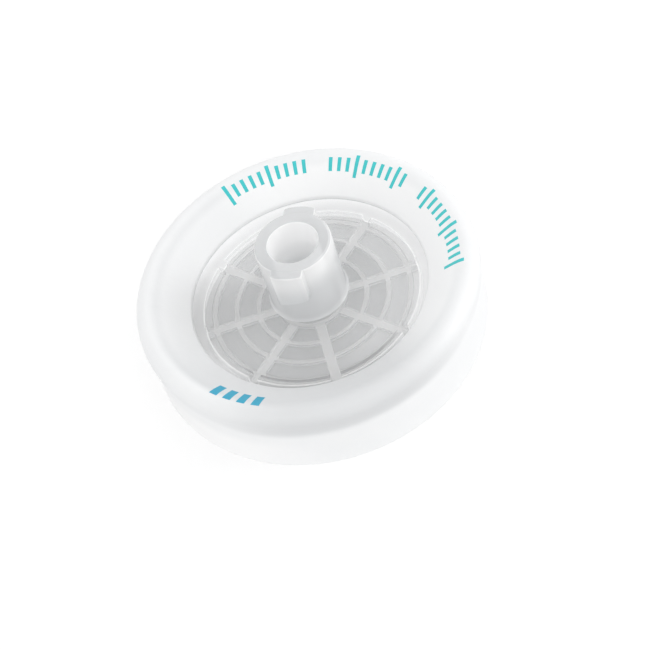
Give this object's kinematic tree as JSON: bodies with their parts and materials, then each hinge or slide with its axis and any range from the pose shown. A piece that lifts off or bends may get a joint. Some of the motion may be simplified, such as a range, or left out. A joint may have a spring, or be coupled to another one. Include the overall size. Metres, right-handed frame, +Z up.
{
  "type": "syringe filter",
  "caption": "Disposable disc syringe filter with a white moulded ring, clear ribbed window, female Luer inlet and male Luer slip outlet.",
  "frame": {"origin": "on the bench, below the middle of the resting filter's bounding box", "axes": "+Z up; the filter lies on its foot and its tip, with its inlet end leaning 43 degrees from +Z, towards +Y turned 30 degrees to -X"},
  "size_m": [0.0294, 0.0272, 0.0245],
  "materials": {
    "ring_plastic": "satin",
    "clear_inlet_plastic": "gloss",
    "membrane": "matte",
    "clear_outlet_plastic": "gloss"
  },
  "bodies": {
    "root": {"sealing_ring": "ring_plastic", "inlet_housing": "clear_inlet_plastic", "membrane": "membrane", "outlet_housing": "clear_outlet_plastic"}
  },
  "joints": []
}
